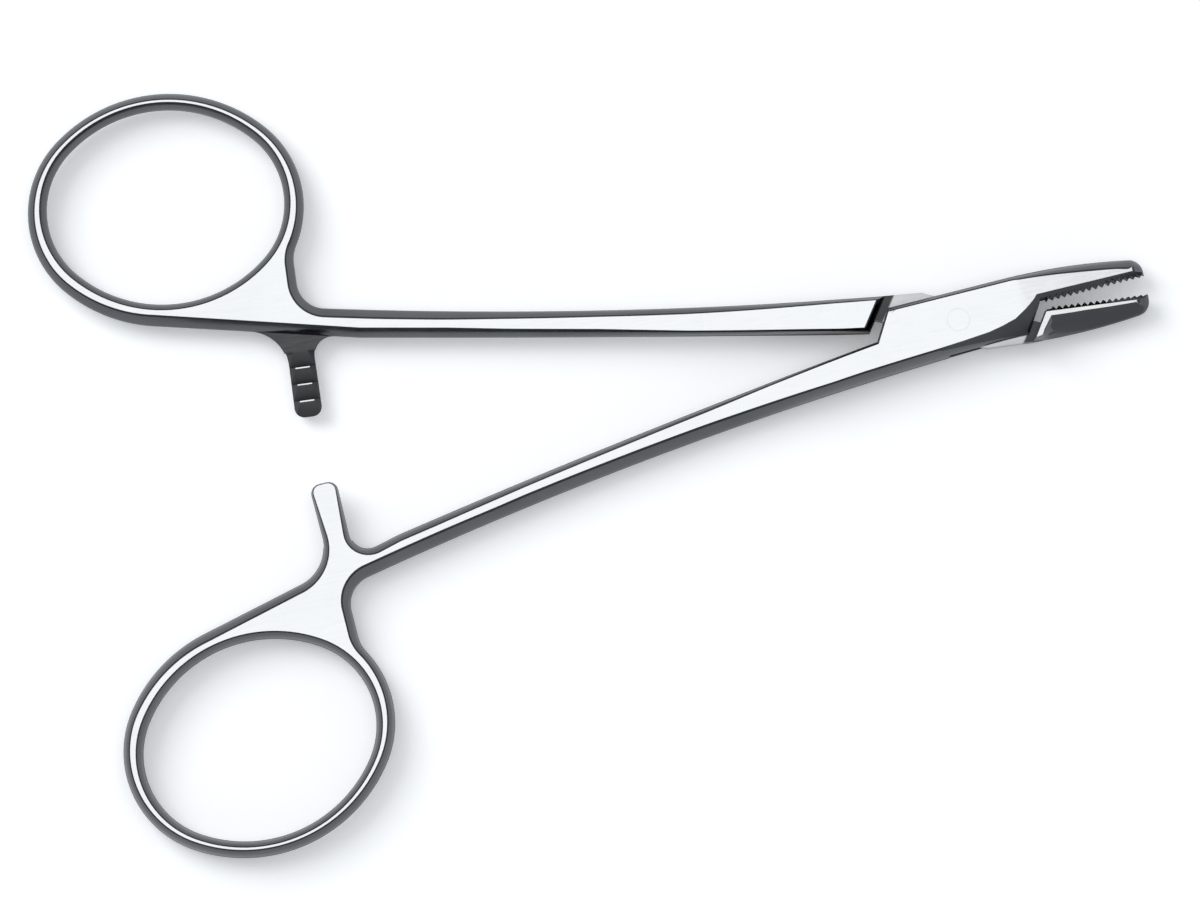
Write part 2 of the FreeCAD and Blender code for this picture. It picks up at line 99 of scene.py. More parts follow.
JAW_TIP, JAW_TIP_OUT, JAW_MIDDLE, JAW_MIDDLE_OUT, JAW_NOSE = 21.4, 1.8, 14.5, 2.95, 1.6
TOOTH_PITCH, TOOTH_DEPTH, TOOTH_LAND, TOOTH_BITE, TOOTH_START = 0.71, 0.35, 0.1, 0.1, 10.6
ROOT_RELIEF, TOOTH_COUNT = 0.15, 16
REST_HALF_ANGLE = math.radians(3.15)
PARTING = -ARM_CREST
LAND_LEVEL = PARTING + CLICK_LAND * CLICK_DEPTH / (CLICK_PITCH - CLICK_RAKE)
HALVES = {
    "box_half": dict(side=-1, level=1, ring_back=86.3, ring_out=26.1,
                     ring_turn=math.radians(9.6), yoke_out=9.35, arm_past=-0.2),
    "tongue_half": dict(side=1, level=-1, ring_back=85.4, ring_out=24.7,
                        ring_turn=math.radians(3.1), yoke_out=8.9, arm_past=0.6),
}
PER_METRE = 1000.0
SAME_PLACE, LEAST = 1e-6, 0.01
CUT_PAST = 1.0
print("halves:", ", ".join(HALVES))

# %% [markdown]
# A forged edge changes its width along the way, so each point of an outline carries more
# than its place: how far in the ground flat starts (inset), where a ground facet ends
# (crease, as a share of the inset), how deep the facet falls, and how far the outline dips
# below its line. A curve is an array with the columns x, y, inset, crease, fall and dip.

# %% Curves of an outline
EDGE_CREASE, EDGE_FALL = 0.8, 0.1
NO_CROSS = 1e-12


def spread(points, inset, crease=EDGE_CREASE, fall=None, dip=0.0):
    """Attach the edge's section to plan points. Each value is a number, or a table of x places
    and values that is read at each point's x. A dip lowers the outline but not the flat's edge.
    Left alone, the edge is a ground facet over a fifth of its inset, then a polished round.
    The facet's fall is then a fixed share of the inset, so that its slope stays the same."""
    def column(setting):
        if np.isscalar(setting):
            return np.full(len(points), float(setting))
        return np.interp(points[:, 0], *setting)

    inset = column(inset)
    fall = EDGE_FALL * inset if fall is None else column(fall)
    return np.stack([points[:, 0], points[:, 1], inset, column(crease), fall, column(dip)], axis=1)


def straight(start, end, step=0.6):
    """Points at even shares of the way from start to end."""
    start, end = np.array(start, float), np.array(end, float)
    count = max(2, int(np.ceil(np.linalg.norm(end - start) / step)) + 1)
    return start + (end - start) * np.linspace(0, 1, count)[:, None]


def arc(start, through, end, step=0.6):
    """The circle through three places: its centre is as far from each of them. The angle then
    goes evenly from start to end, the way round that passes the middle place."""
    a, b, c = (np.array(place, float) for place in (start, through, end))
    lines = 2 * np.array([b - a, c - a])
    centre = np.linalg.solve(lines, [b @ b - a @ a, c @ c - a @ a])
    angles = [math.atan2(*(place - centre)[::-1]) for place in (a, b, c)]
    middle = (angles[1] - angles[0]) % (2 * math.pi)
    sweep = (angles[2] - angles[0]) % (2 * math.pi)
    if middle > sweep:
        sweep -= 2 * math.pi
    radius = np.linalg.norm(a - centre)
    count = max(3, int(np.ceil(abs(sweep) * radius / step)) + 1)
    angle = angles[0] + sweep * np.linspace(0, 1, count)
    return centre + radius * np.stack([np.cos(angle), np.sin(angle)], axis=1)


def left_normals(points):
    """At each point, the unit vector to the left of the way along the curve."""
    way = np.gradient(points, axis=0)
    normal = np.stack([-way[:, 1], way[:, 0]], axis=1)
    return normal / np.linalg.norm(normal, axis=1, keepdims=True)


def crossing(first, second):
    """Where two open curves cross, as an index and share on each: every segment of one is
    solved against every segment of the other, and the pair whose shares lie in 0..1 is it."""
    way_a, way_b = np.diff(first, axis=0)[:, None], np.diff(second, axis=0)[None]
    gap = second[None, :-1] - first[:-1, None]
    cross = way_a[..., 0] * way_b[..., 1] - way_a[..., 1] * way_b[..., 0]
    cross = np.where(np.abs(cross) < NO_CROSS, NO_CROSS, cross)
    share_a = (gap[..., 0] * way_b[..., 1] - gap[..., 1] * way_b[..., 0]) / cross
    share_b = (gap[..., 0] * way_a[..., 1] - gap[..., 1] * way_a[..., 0]) / cross
    miss = np.maximum(np.abs(share_a - 0.5), np.abs(share_b - 0.5))
    i, j = np.unravel_index(np.argmin(miss), miss.shape)
    return i, share_a[i, j], j, share_b[i, j]


def part_of(curve, i, share, after):
    """The curve from a crossing to its end, or up to the crossing."""
    place = curve[i] + share * (curve[i + 1] - curve[i])
    return np.vstack([place, curve[i + 1:]]) if after else np.vstack([curve[:i + 1], place])


def rounded(first, second, radius, step=0.35):
    """Join two curves with a round of a radius. Its centre is where both curves cross
    once they are moved sideways by the radius."""
    way_in, way_out = first[-1, :2] - first[-2, :2], second[1, :2] - second[0, :2]
    turn_side = np.sign(way_in[0] * way_out[1] - way_in[1] * way_out[0])
    shift = turn_side * radius
    moved_first = first[:, :2] + shift * left_normals(first[:, :2])
    moved_second = second[:, :2] + shift * left_normals(second[:, :2])
    i, share_i, j, share_j = crossing(moved_first, moved_second)
    centre = moved_first[i] + share_i * (moved_first[i + 1] - moved_first[i])
    before, after = part_of(first, i, share_i, False), part_of(second, j, share_j, True)
    angle_in = math.atan2(*(before[-1, :2] - centre)[::-1])
    angle_out = math.atan2(*(after[0, :2] - centre)[::-1])
    sweep = (angle_out - angle_in) % (2 * math.pi)
    sweep -= 2 * math.pi * (turn_side < 0)
    count = max(4, int(np.ceil(abs(sweep) * radius / step)) + 1)
    share = np.linspace(0, 1, count)[:, None]
    angle = angle_in + sweep * share
    plan = centre + radius * np.hstack([np.cos(angle), np.sin(angle)])
    section = before[-1, 2:] + share * (after[0, 2:] - before[-1, 2:])
    return [before[:-1], np.hstack([plan, section]), after[1:]]


print("curve helpers ready")

# %% [markdown]
# An outline is drawn as a chain of such curves. The flat's edge runs inside it. Along a
# smooth stretch it lies square to the outline, and at a corner it is the place that keeps
# each side's own inset, like the mitre of a picture frame.

# %% Outlines and their flats
CORNER_FROM = math.radians(8)
LEAN_FADE = 4


def chain(curves):
    """One closed outline from curves that meet end to start. Returns plan points, the vector
    from each to the flat's edge at full inset, crease share and fall. At a smooth point that
    vector goes along the sum of both sides' normals, and at a corner it solves both insets at
    once. Beside a corner the vectors lean over to it, less with every step away."""
    curves = [curve for curve in curves if len(curve)]
    points = np.vstack(curves)
    following = np.roll(points, -1, axis=0)
    same = np.linalg.norm(points[:, :2] - following[:, :2], axis=1) < SAME_PLACE
    inset_after = np.where(same, following[:, 2], points[:, 2])
    inset_before = points[:, 2].copy()
    keep = ~np.roll(same, 1)
    inset_after, inset_before = inset_after[keep], inset_before[keep]
    points = points[keep]
    way = np.roll(points[:, :2], -1, axis=0) - points[:, :2]
    out = np.stack([way[:, 1], -way[:, 0]], axis=1)
    out /= np.linalg.norm(out, axis=1, keepdims=True)
    out_before = np.roll(out, 1, axis=0)
    dot = np.sum(out * out_before, axis=1)
    cross = out_before[:, 0] * out[:, 1] - out_before[:, 1] * out[:, 0]
    smooth = dot > math.cos(CORNER_FROM)
    inset = (inset_before + inset_after) / 2
    along = -(out + out_before) * (inset / (1 + dot))[:, None]
    cross = np.where(smooth, 1.0, cross)
    corner = np.stack([
        (-inset_before * out[:, 1] + inset_after * out_before[:, 1]) / cross,
        (inset_before * out[:, 0] - inset_after * out_before[:, 0]) / cross,
    ], axis=1)
    inward = np.where(smooth[:, None], along, corner)
    corners = np.flatnonzero(~smooth)
    for first, last in zip(corners, np.roll(corners, -1)):
        index = np.arange(first, last + 1 + len(points) * (last <= first)) % len(points)
        steps = np.linalg.norm(np.diff(points[index, :2], axis=0), axis=1)
        way_gone = np.concatenate([[0], np.cumsum(steps)])
        for end, square, gone in (
            (first, -inset_after[first] * out[first], way_gone),
            (last, -inset_before[last] * out_before[last], way_gone[-1] - way_gone),
        ):
            lean = corner[end] - square
            reach = min(way_gone[-1], LEAN_FADE * np.linalg.norm(lean) + LEAST)
            inward[index[1:-1]] += lean * np.clip(1 - gone[1:-1, None] / reach, 0, 1)
    dip = np.stack([np.zeros(len(points)), points[:, 5]], axis=1)
    return dict(plan=points[:, :2] + dip, inward=inward - dip,
                crease=points[:, 3], fall=points[:, 4])


print("an edge turns a corner from", round(math.degrees(CORNER_FROM)), "degrees")

# %% [markdown]
# Seen from the side, the instrument is thin along its shanks, swells to the box and thins
# out again to the jaws' tips. The side of a piece could be a plain bevel, but the real one
# is ground first and polished after, so it has a narrow facet and then a full round.

# %% The side of a piece
FACET_ROWS, ROUND_ROWS = 4, 9
START_SLOPE, STRAIGHT_SHARE = 1.12, 0.85
HOLLOW = 0.05


def half_thick(x):
    """Half the ground thickness at a reach: the shank's, then an even S of two parabolas up
    to the box, the box's, and a straight fall that ends a millimetre past the tip."""
    rise = np.clip((x + NECK_RISE_BACK) / (NECK_RISE_BACK - NECK_BACK), 0, 1)
    rise = np.where(rise < 0.5, 2 * rise**2, 1 - 2 * (1 - rise)**2)
    slope_start = CHEEK_FRONT - BOX_HALF_WIDTH / math.tan(LOCK_SLANT)
    fall = np.clip((x - slope_start) / (JAW_TIP + 1 - slope_start), 0, 1)
    handle = HANDLE_HALF_THICK + (BOX_HALF_THICK - HANDLE_HALF_THICK) * rise
    return handle + (TIP_HALF_THICK - BOX_HALF_THICK) * fall


def edge_rows(outline, girth):
    """The side of a piece from its flat down to its widest line at height girth, as rows of
    places. First comes the ground facet, slightly hollow: an even way in plan while the fall
    sags below its straight line. Then comes the round, over an angle of a quarter turn: the way
    out goes with the angle's sine, the height with a straight share of the same sine and, for
    the rest, with one minus the cosine. The straight share gives the round its first slope."""
    share = np.linspace(0, 1, FACET_ROWS, endpoint=False)[:, None]
    crease, fall = outline["crease"][None], outline["fall"][None]
    facet_in = 1 + (crease - 1) * share
    facet_fall = fall * (share + 4 * HOLLOW * share * (1 - share))
    angle = np.linspace(0, math.pi / 2, ROUND_ROWS)[:, None]
    round_in = crease * (1 - np.sin(angle))
    inside = np.vstack([facet_in, round_in])
    plan = outline["plan"][None] + inside[..., None] * outline["inward"][None]
    top = half_thick(plan[..., 0])
    facet = top[:FACET_ROWS] - facet_fall
    height = top[FACET_ROWS:] - fall - girth
    width = crease * np.linalg.norm(outline["inward"], axis=1)[None]
    straight_share = np.minimum(START_SLOPE * width / np.maximum(height, LEAST), STRAIGHT_SHARE)
    rounding = girth + height * (
        1 - straight_share * np.sin(angle) - (1 - straight_share) * (1 - np.cos(angle)))
    return np.concatenate([plan, np.vstack([facet, rounding])[..., None]], axis=2)


print("rows per side:", FACET_ROWS + ROUND_ROWS)

# %% [markdown]
# A whole piece is a skin of such sides and flats. The flats are filled by a Delaunay
# triangulation between the flat's edge and any hole. One half of each handle carries the
# ratchet arm and the other doesn't, so two outlines may meet at the parting line, with the
# arm's toothed face between them.

# %% Skins
GROUND, POLISHED, CUT, TONGUE = 0, 1, 2, 3
FINISH_COUNT = 4
WELD = 2e-7


def skirt(rows, closed=True):
    """Four-sided faces between neighbouring rows and neighbouring points."""
    row_count, count = rows.shape[:2]
    index = np.arange(row_count * count).reshape(row_count, count)
    right = np.roll(index, -1, axis=1)
    if not closed:
        index, right = index[:, :-1], right[:, :-1]
    quads = np.stack([index[:-1], right[:-1], right[1:], index[1:]], axis=-1)
    return rows.reshape(-1, 3), quads.reshape(-1, 4)


def flat_fill(loops):
    """Triangles that fill the plane region between closed loops of places."""
    places = np.vstack(loops)
    starts = np.cumsum([0] + [len(loop) for loop in loops])
    faces = [list(range(a, b)) for a, b in zip(starts, starts[1:])]
    plan = [mathutils.Vector(place) for place in places[:, :2]]
    filled = mathutils.geometry.delaunay_2d_cdt(plan, [], faces, 2, SAME_PLACE)
    triangles, origin = filled[2:4]
    source = np.array([sources[0] for sources in origin])
    return places, source[np.array([triangle for triangle in triangles if len(triangle) == 3])]


class Skin:
    """Gathers faces in millimetres, with a finish number for each, and makes the mesh."""

    def __init__(self):
        self.places, self.faces, self.finishes = [], [], []

    def add(self, places, faces, finish):
        start = sum(len(block) for block in self.places)
        self.places.append(places)
        self.faces += (np.asarray(faces) + start).tolist()
        self.finishes += [finish] * len(faces)

    def mesh(self, name, half):
        """Set the half on its own side, turn it to where it rests, weld and point faces out."""
        places = np.vstack(self.places) * (1, half["side"], half["level"])
        angle = -half["side"] * REST_HALF_ANGLE
        cos, sin = math.cos(angle), math.sin(angle)
        places[:, :2] = places[:, :2] @ np.array([[cos, -sin], [sin, cos]]).T
        places = (places + (0, 0, BOX_HALF_THICK)) / PER_METRE
        mesh = bpy.data.meshes.new(name)
        mesh.from_pydata(places.tolist(), [], self.faces)
        for _ in range(FINISH_COUNT):
            mesh.materials.append(None)
        mesh.polygons.foreach_set("material_index", self.finishes)
        work = bmesh.new()
        work.from_mesh(mesh)
        bmesh.ops.remove_doubles(work, verts=work.verts, dist=WELD)
        bmesh.ops.recalc_face_normals(work, faces=work.faces)
        open_edges = sum(not edge.is_manifold for edge in work.edges)
        work.to_mesh(mesh)
        work.free()
        print(name, "faces", len(mesh.polygons), "open edges", open_edges)
        return mesh


def prism(skin, plan, low, high, finish=CUT, axis=2):
    """A straight block over a plan outline, between two levels along an axis."""
    plan = np.asarray(plan, float)
    count = len(plan)
    rows = np.stack([np.insert(plan, axis, level, axis=1) for level in (low, high)])
    places, quads = skirt(rows)
    skin.add(places, quads, finish)
    start = sum(len(block) for block in skin.places) - 2 * count
    for first in (start, start + count):
        skin.faces.append(list(range(first, first + count)))
        skin.finishes.append(finish)


print("finishes: ground flats, polished edges, cut faces, tongue faces")

# %% [markdown]
# The finger ring is an oval of four arcs that run smoothly into each other: two tight ends
# and two flatter flanks. The same oval, moved out by the wall, is the ring's outside.

# %% The finger ring
END_REACH = RING_LENGTH / 2 - RING_END
FLANK = (END_REACH**2 + (RING_WIDTH / 2)**2 - RING_END**2) / (RING_WIDTH - 2 * RING_END)
FLANK_DROP = FLANK - RING_WIDTH / 2
JOIN_SLOPE = math.atan(FLANK_DROP / END_REACH)


def ring_place(half, along, across, shift):
    """A place given along and across the ring's long axis."""
    cos, sin = math.cos(half["ring_turn"]), math.sin(half["ring_turn"])
    return (-half["ring_back"] + along * cos + across * sin,
            half["ring_out"] - shift - along * sin + across * cos)


def oval(half, wall, shift):
    """The closed oval, moved out by a wall and towards the shank by a shift."""
    def join(way_along, way_across):
        reach = END_REACH + (RING_END + wall) * math.cos(JOIN_SLOPE)
        rise = (RING_END + wall) * math.sin(JOIN_SLOPE)
        return ring_place(half, way_along * reach, way_across * rise, shift)

    tip, brow = RING_LENGTH / 2 + wall, RING_WIDTH / 2 + wall
    stops = [join(1, -1), (tip, 0), join(1, 1), (0, brow),
             join(-1, 1), (-tip, 0), join(-1, -1), (0, -brow)]
    stops[1::2] = [ring_place(half, *place, shift) for place in stops[1::2]]
    arcs = [arc(stops[i], stops[i + 1], stops[(i + 2) % 8])[:-1] for i in (0, 2, 4, 6)]
    return np.vstack(arcs)


def heel_place(half):
    """Where the straight line from the yoke touches the ring's lower flank: the flank's
    radius to that place stands square on the line."""
    centre = ring_place(half, 0, FLANK_DROP, RING_HEEL)
    across = -YOKE_BACK - centre[0]
    down = centre[1] - (half["yoke_out"] - YOKE_WIDTH / 2)
    radius = FLANK + RING_WALL
    angle = -math.atan(down / across) - math.acos(radius / math.hypot(across, down))
    return centre[0] + radius * math.cos(angle), centre[1] + radius * math.sin(angle)


print("ring hole", RING_LENGTH, "by", RING_WIDTH, "mm")

# %% [markdown]
# The handle is one sweep from the lock out along the shank, round the ring and back. Its
# flat is about a millimetre wide near the ring and widens to the whole breadth of the box,
# so the inset falls along the shank. The ratchet arm grows out of the heel line with two
# rounds, and the skin without it runs straight on there.

# %% Handle outlines
BOX_OUTER = ([-61.7, -54.5, -51.0, -29.4, -22.3, -15.1, -11.6, -3.0, -0.24, 3.0, 5.1, 7.3],
             [1.28, 1.24, 1.29, 1.3, 1.22, 1.1, 1.15, 1.15, 1.2, 1.35, 1.6, 2.0])
BOX_INNER = ([-61.7, -54.5, -51.0, -29.4, -22.3, -15.1, -11.6],
             [0.93, 0.85, 0.8, 0.68, 0.52, 0.47, 0.46])
TONGUE_OUTER = ([-63.0, -56.3, -49.7, -39.7, -29.7, -19.7, -13.0, -8.0],
                [1.15, 1.1, 0.98, 0.87, 0.85, 0.72, 0.62, 0.6])
TONGUE_INNER = ([-63.0, -56.3, -49.7, -39.7, -29.7, -13.0, -9.7],
                [1.0, 1.0, 0.86, 0.77, 0.5, 0.42, 0.5])
RING_INSET, HOLE_INSET, HEEL_INSET, HEEL_POINTS = 0.85, 0.78, 1.15, 24
ARM_HEEL_INSET, ARM_ROOT_INSET, ARM_TIP_INSET = 1.05, 0.8, 0.25
WEB_INSET, WEB_PAST_RING = 1.0, 1.0
HEEL_CLEAR, ARM_PAST_HEEL = 0.2, 2.0
CHEEK_FALL_FROM, CHEEK_FALL_MIDDLE = -2.0, 3.0
CHEEK_MIDDLE_FALL, CHEEK_FALL = 0.7, 1.25


def outer_way(half, box_end):
    """From the box's outer corner along the shank, over the web and round the ring. The ring
    starts where the oval passes the web's line, and ends at the heel."""
    web_x = -(half["ring_back"] - RING_LENGTH / 2 - WEB_PAST)
    web_y = half["yoke_out"] + YOKE_WIDTH / 2 + WEB_RISE
    shank = arc(box_end, (-WAIST_BACK, WAIST_OUT + WAIST_WIDTH / 2), (web_x, web_y))
    around = oval(half, RING_WALL, RING_HEEL)
    behind = around[:, 0] < web_x
    passes = (behind != np.roll(behind, -1)) & (around[:, 1] > web_y)
    first = np.flatnonzero(passes)
    first = first[np.argmin(around[first, 1])]
    around = np.roll(around, -first, axis=0)
    heel = np.array(heel_place(half))
    last = np.argmin(np.linalg.norm(around - heel, axis=1))
    around = around[:last + 1]
    around = around[np.linalg.norm(around - heel, axis=1) > HEEL_CLEAR]
    around = np.vstack([around, heel])
    return shank, straight((web_x, web_y), (web_x, around[0, 1] + WEB_PAST_RING)), around


def handle_ways(half, box_end, inner_end, outer_section, inner_section):
    """The outline's curves from the box's outer corner to its inner one: the shared part out,
    the arm or the bare heel line, and the shared part back."""
    shank, web_side, around = outer_way(half, box_end)
    shank = spread(shank, *outer_section)
    web_side = spread(web_side, WEB_INSET)
    around = spread(around, RING_INSET)
    around[-HEEL_POINTS:, 2] = np.linspace(RING_INSET, HEEL_INSET, HEEL_POINTS)
    around[:, 4] = EDGE_FALL * around[:, 2]
    first, corner, web_side = rounded(shank, web_side, WEB_ROUND)
    web_side, blend, around = rounded(np.vstack([corner[-1:], web_side]), around, WEB_BLEND)
    out = [first, corner[:-1], web_side, blend, around]
    heel = around[-1, :2]
    yoke = np.array((-YOKE_BACK, half["yoke_out"] - YOKE_WIDTH / 2))
    heel_table = ([heel[0], -ARM_BACK, yoke[0]],
                  [HEEL_INSET, ARM_HEEL_INSET, inner_section[0][1][0]])
    heel_line = spread(straight(heel, yoke), heel_table)
    back = arc(yoke, (-WAIST_BACK, WAIST_OUT - WAIST_WIDTH / 2), inner_end)
    back = spread(back, *inner_section)
    left, right = -ARM_BACK - ARM_WIDTH / 2, -ARM_BACK + ARM_WIDTH / 2
    tip, root = -half["arm_past"], yoke[1] + ARM_PAST_HEEL
    near_line = spread(straight((left, root), (left, tip)), ARM_ROOT_INSET)
    far_line = spread(straight((right, tip), (right, root)), ARM_ROOT_INSET)
    for line in (near_line, far_line):
        line[:, 2] = np.interp(line[:, 1], [tip, yoke[1]], [ARM_TIP_INSET, ARM_ROOT_INSET])
        line[:, 4] = EDGE_FALL * line[:, 2]
    ring_side, ring_round, near_line = rounded(heel_line, near_line, ARM_ROUND_RING)
    far_line, shank_round, shank_side = rounded(far_line, heel_line, ARM_ROUND_SHANK)
    tip_line = spread(straight((left, tip), (right, tip), 0.1), ARM_TIP_INSET)
    near_line, near_corner, tip_line = rounded(near_line, tip_line, ARM_CORNER)
    tip_line, far_corner, far_line = rounded(tip_line, far_line, ARM_CORNER)
    arm = [ring_round, near_line, near_corner, tip_line, far_corner, far_line, shank_round]
    bare = straight(ring_round[0, :2], shank_round[-1, :2])
    out.append(ring_side)
    return out, arm, [spread(bare, heel_table)], [shank_side, back]


def lock_section(x_edge):
    """Crease and fall of the cheek's ground facet along the box's outer edge."""
    along = [x for x in BOX_OUTER[0] if x < CHEEK_FALL_FROM]
    falls = [EDGE_FALL * inset for inset in BOX_OUTER[1][:len(along)]]
    return (([along[-1], x_edge], [EDGE_CREASE, 0.0]),
            (along + [CHEEK_FALL_MIDDLE, x_edge], falls + [CHEEK_MIDDLE_FALL, CHEEK_FALL]))


print("handle inset from", max(BOX_OUTER[1]), "to", min(BOX_INNER[1]), "mm")

# %% [markdown]
# The gripping face is a row of V cuts. In plan it is a zigzag, and above it the jaw's edge
# is bevelled straight, so the flat's edge keeps one line while the outline goes up and down.

# %% Jaw outline
GRIP_BEVEL = 0.4
UPPER_GRIP_INSET, LOWER_GRIP_INSET = 0.75, 0.5
TIP_CLEAR, STEP_ALONG = 0.02, 0.002


def jaw_way(start, foot, shift, grip_inset, inset, crease=EDGE_CREASE, fall=None):
    """From the jaw's outer corner out to the nose, over the tip and back along the teeth."""
    outer = arc(start, (JAW_MIDDLE, -JAW_MIDDLE_OUT), (JAW_TIP, -JAW_TIP_OUT), 0.25)
    outer = spread(outer, inset, crease, fall)
    tip = straight((JAW_TIP, -JAW_TIP_OUT), (JAW_TIP, TOOTH_BITE), 0.3)
    tip = spread(tip, *outer[-1, 2:5])
    outer, nose, tip = rounded(outer, tip, JAW_NOSE, 0.15)
    centre = TOOTH_START + TOOTH_PITCH * (shift + np.arange(TOOTH_COUNT))[::-1, None]
    mouth = (TOOTH_PITCH - TOOTH_LAND) / 2
    x = (centre + np.array([mouth, 0, -mouth])).ravel()
    dip = np.tile([0, -TOOTH_DEPTH, 0], TOOTH_COUNT)
    row_end = x[-1] - TOOTH_LAND
    tip_dip = np.interp(JAW_TIP, x[::-1], dip[::-1])
    inside = x < JAW_TIP - TIP_CLEAR
    x = np.concatenate([[JAW_TIP], x[inside], [row_end, row_end - STEP_ALONG, foot]])
    relief = -ROOT_RELIEF - TOOTH_BITE
    dip = np.concatenate([[tip_dip], dip[inside], [0, relief, relief]])
    row = spread(np.stack([x, np.full(len(x), TOOTH_BITE)], axis=1), grip_inset, 0.0, GRIP_BEVEL)
    row[:, 5] = dip
    return [outer, nose, tip, row]


def slanted(foot, height):
    """A place at a height on one of the slanted ends of the lock."""
    return foot + height / math.tan(LOCK_SLANT), height


def wall_at_height(distance, height, angle=CLOSED_WALL):
    """A place at a height on a wall at a distance from the rivet, square to an angle."""
    return (distance - height * math.sin(angle)) / math.cos(angle), height


def wall_at_reach(distance, reach, angle=CLOSED_WALL):
    """A place at a reach along X on such a wall."""
    return reach, (distance - reach * math.cos(angle)) / math.sin(angle)


def wall_at_slant(distance, foot):
    """Where such a wall meets a slanted end of the lock."""
    ease = math.cos(CLOSED_WALL) / math.tan(LOCK_SLANT)
    return slanted(foot, (distance - foot * math.cos(CLOSED_WALL)) / (math.sin(CLOSED_WALL) + ease))


print("teeth", TOOTH_COUNT)

# %% [markdown]
# Both halves are skinned in the same way. The side that carries the arm goes from its flat
# down to the parting line, the other side from its own flat, and the arm's face closes the
# step between the two outlines.

# %% Skin of a body with an arm


def skin_of(shared_out, arm, bare, shared_back, hole):
    """The skin of one handle with its arm on the near side. hole is the ring's finger hole."""
    skin = Skin()
    for way, middle in ((1, arm), (-1, bare)):
        outline = chain(shared_out + middle + shared_back)
        rows = edge_rows(outline, way * PARTING)
        hole_rows = edge_rows(hole, way * PARTING)
        for each in (rows, hole_rows):
            each[..., 2] *= way
            skin.add(*skirt(each), POLISHED)
        skin.add(*flat_fill([rows[0], hole_rows[0]]), GROUND)
    between = np.vstack([np.vstack(arm)[:, :2], np.vstack(bare)[::-1][1:-1, :2]])
    distinct = np.linalg.norm(between - np.roll(between, 1, axis=0), axis=1) > 1e-6
    between = between[distinct]
    between = np.column_stack([between, np.full(len(between), PARTING)])
    skin.add(*flat_fill([between]), CUT)
    return skin


def finger_hole(half):
    """The hole's wall seen from its own inside: the outline runs the other way round."""
    return chain([spread(oval(half, 0.0, 0.0)[::-1], HOLE_INSET)])


print("skins ready")

# %% [markdown]
# Slots, holes, teeth and bevels are cut the way a maker cuts them: a tool is set in place
# and its shape is taken away. They could be modelled into the outlines, but an exact boolean
# keeps both simple. Each tool is closed blocks that share no wall with one another.

# %% Tools and cuts
BEVEL_SHORT, CREST_SLACK = 0.6, 0.01


def cutter(name, half, fill):
    """A temporary object made of prisms."""
    skin = Skin()
    fill(skin)
    thing = bpy.data.objects.new(name, skin.mesh(name, half))
    scene.collection.objects.link(thing)
    return thing


def combine(thing, tool, operation):
    """Cut away or join one solid with another, exactly, and keep the result as the mesh."""
    modifier = thing.modifiers.new(tool.name, "BOOLEAN")
    modifier.operation = operation
    modifier.solver = "EXACT"
    modifier.object = tool
    bpy.context.view_layer.update()
    result = bpy.data.meshes.new_from_object(
        thing.evaluated_get(bpy.context.evaluated_depsgraph_get()))
    thing.modifiers.clear()
    result.name = thing.name
    thing.data = result
    bpy.data.objects.remove(tool)
    finishes = np.zeros(len(result.polygons), int)
    result.polygons.foreach_get("material_index", finishes)
    print(thing.name, operation.lower(), "-> faces per finish", np.bincount(finishes).tolist())


def clicks(half):
    """The ratchet's one-way teeth, cut across the arm's face. One sawtooth outline cuts them
    all, with a narrow land on each crest."""
    above = PARTING - CUT_PAST
    rake_foot = CLICK_RAKE * (LAND_LEVEL - PARTING) / CLICK_DEPTH
    first = -half["arm_past"] - CLICK_OVERRUN
    profile = [(first, above), (first, PARTING)]
    for number in range(CLICK_COUNT):
        start = first + number * CLICK_PITCH
        end = start + CLICK_PITCH
        if number:
            profile.append((start + rake_foot, LAND_LEVEL))
        profile += [(start + CLICK_RAKE, PARTING + CLICK_DEPTH), (end - CLICK_LAND, LAND_LEVEL)]
    profile += [(end, LAND_LEVEL), (end, above)]

    def fill(skin):
        prism(skin, profile, -ARM_BACK - ARM_WIDTH, -ARM_BACK + ARM_WIDTH, axis=0)
    return fill


def brighten_crests(thing, half):
    """Give the narrow lands on the ratchet's teeth the ground finish. They are the faces
    at the lands' level that lie nearer to the arm's tip than the last tooth does."""
    mesh = thing.data
    centre = np.zeros(3 * len(mesh.polygons))
    mesh.polygons.foreach_get("center", centre)
    centre = centre.reshape(-1, 3) * PER_METRE - (0, 0, BOX_HALF_THICK)
    angle = half["side"] * REST_HALF_ANGLE
    reach = (centre[:, 0] * math.sin(angle) + centre[:, 1] * math.cos(angle)) * half["side"]
    level = centre[:, 2] * half["level"]
    last = -half["arm_past"] + (CLICK_COUNT - 0.5) * CLICK_PITCH
    land = np.abs(level - LAND_LEVEL) < CREST_SLACK
    land &= (reach > -CLICK_PITCH) & (reach < last)
    finishes = np.zeros(len(mesh.polygons), int)
    mesh.polygons.foreach_get("material_index", finishes)
    finishes[land & (finishes == CUT)] = GROUND
    mesh.polygons.foreach_set("material_index", finishes)
    print(thing.name, "crest faces", int(land.sum()))


def arm_bevels(half):
    """Wedges that take the three upper edges off the arm's toothed face, down past the teeth."""
    left, right = -ARM_BACK - ARM_WIDTH / 2, -ARM_BACK + ARM_WIDTH / 2
    tip, root = -half["arm_past"], half["yoke_out"] - YOKE_WIDTH / 2 - BEVEL_SHORT
    past, above = 2 * CUT_PAST, PARTING - CUT_PAST

    def fill(skin):
        for edge, inwards, axis, low, high in (
            (left, 1, 1, tip - past, root), (right, -1, 1, tip - past, root),
            (tip, 1, 0, left - past, right + past),
        ):
            outside = edge - inwards * CUT_PAST
            wedge = [(outside, PARTING + ARM_BEVEL + CUT_PAST), (outside, above),
                     (edge + inwards * (ARM_BEVEL + CUT_PAST), above)]
            prism(skin, wedge, low, high, axis=axis)
    return fill


